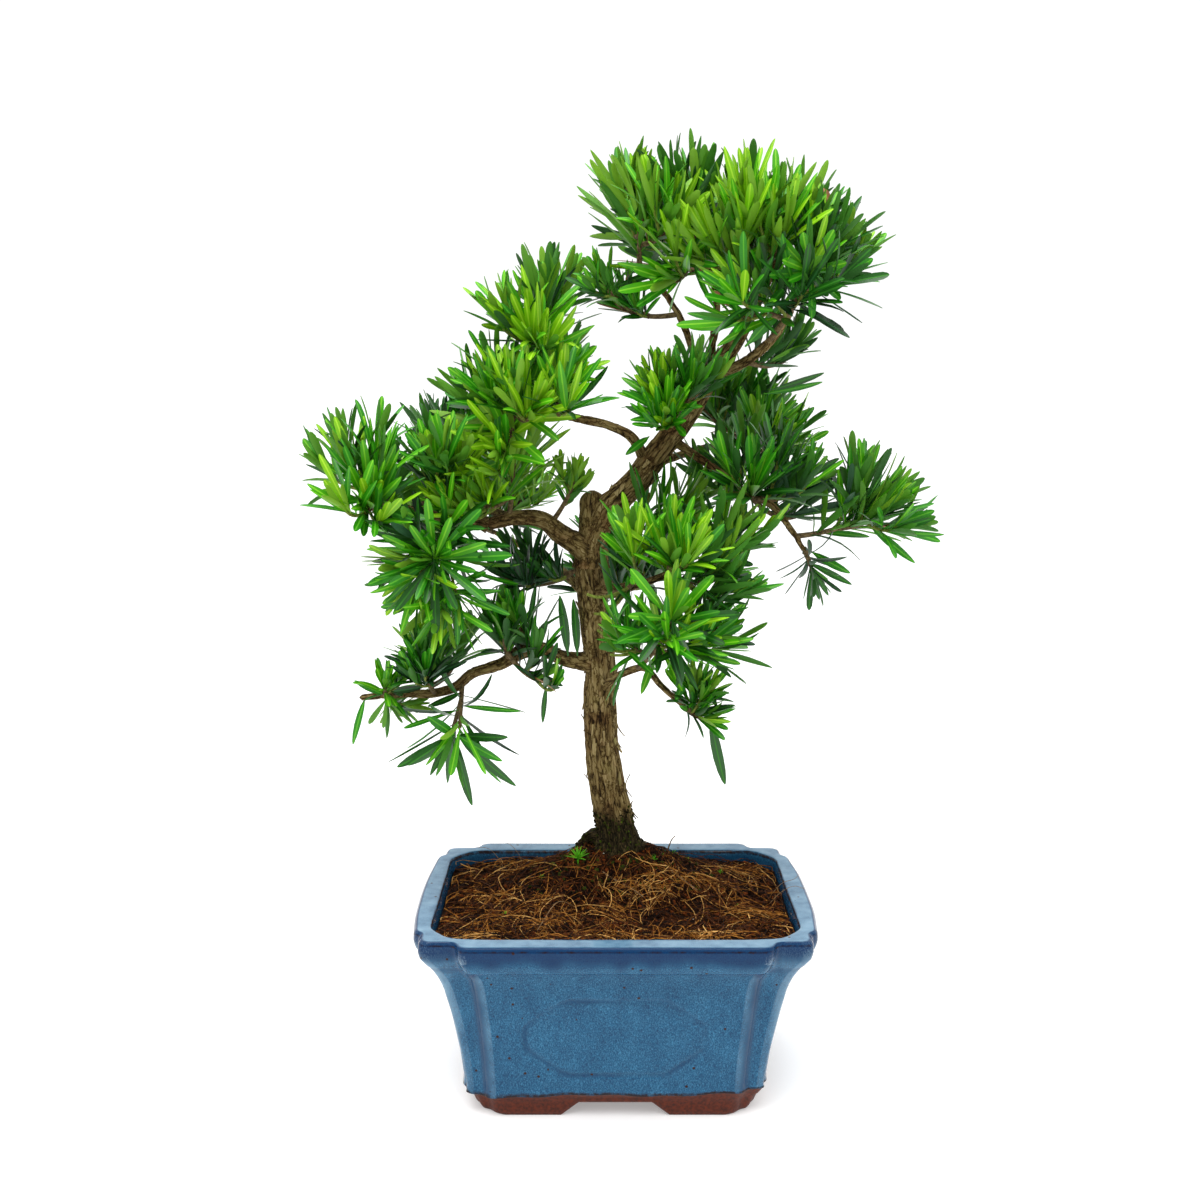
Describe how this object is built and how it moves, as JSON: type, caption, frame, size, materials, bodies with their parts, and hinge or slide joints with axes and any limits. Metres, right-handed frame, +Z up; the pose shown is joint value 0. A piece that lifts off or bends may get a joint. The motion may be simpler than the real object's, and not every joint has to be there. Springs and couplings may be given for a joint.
{
  "type": "bonsai podocarpus in pot",
  "caption": "Podocarpus grown as a bonsai in a glazed rectangular pot with notched corners and bare clay feet: tapering trunk with root flare, spreading boughs and tufts of strap leaves.",
  "frame": {"origin": "centre of the whole plant's bounding box, on the ground under the pot's feet", "axes": "+Z up; +X along the pot's long side, to the right as seen from its front; -Y towards its front"},
  "size_m": [0.324, 0.229, 0.4949],
  "materials": {
    "bark": "rough, fibrous and flaking grey-brown bark",
    "foliage": "glossy leathery leaves with a pale midrib",
    "young_foliage": "glossy, softer yellow-green leaves",
    "glaze": "mottled blue gloss glaze, bare red-brown clay at the feet",
    "soil": "damp coir and peat with loose fibres and moss"
  },
  "bodies": {
    "root": {"pot": "glaze", "soil": "soil", "trunk": "bark", "bough_low_left_inner": "bark", "bough_low_left_outer": "bark", "bough_mid_left": "bark", "bough_far_left": "bark", "bough_mid_left_back": "bark", "bough_upper_left": "bark", "bough_upper_left_riser": "bark", "bough_right": "bark", "bough_top": "bark", "bough_top_right": "bark", "bough_top_centre": "bark", "bough_top_left": "bark", "bough_front": "bark", "bough_front_low": "bark", "bough_back_low": "bark", "bough_back_left": "bark", "bough_back_right": "bark", "bough_back_top": "bark", "foliage_far_left": "young_foliage", "foliage_left_tall": "foliage", "foliage_left_star": "foliage", "foliage_left_back": "young_foliage", "foliage_left_inner": "foliage", "foliage_mid_sprig": "foliage", "foliage_under_mid": "young_foliage", "foliage_low_near": "foliage", "foliage_low_inner": "foliage", "foliage_low_hang": "young_foliage", "foliage_low_mid": "foliage", "foliage_low_end": "foliage", "foliage_upper_left_tall": "young_foliage", "foliage_upper_left_right": "foliage", "foliage_upper_left_low": "foliage", "foliage_upper_left_front": "young_foliage", "foliage_upper_join": "foliage", "foliage_leader_sprig": "foliage", "foliage_top_left": "young_foliage", "foliage_top_peak": "foliage", "foliage_top_front": "foliage", "foliage_top_high": "young_foliage", "foliage_top_right_mid": "foliage", "foliage_top_right": "foliage", "foliage_top_star": "young_foliage", "foliage_under_top": "foliage", "foliage_top_back": "foliage", "foliage_right_up": "young_foliage", "foliage_far_right": "foliage", "foliage_right_hang": "foliage", "foliage_fork": "young_foliage", "foliage_front_top": "foliage", "foliage_front_centre": "foliage", "foliage_front_star": "young_foliage", "foliage_front_end": "foliage", "foliage_back_low": "foliage", "foliage_back_left": "young_foliage", "foliage_back_right": "foliage"}
  },
  "joints": []
}
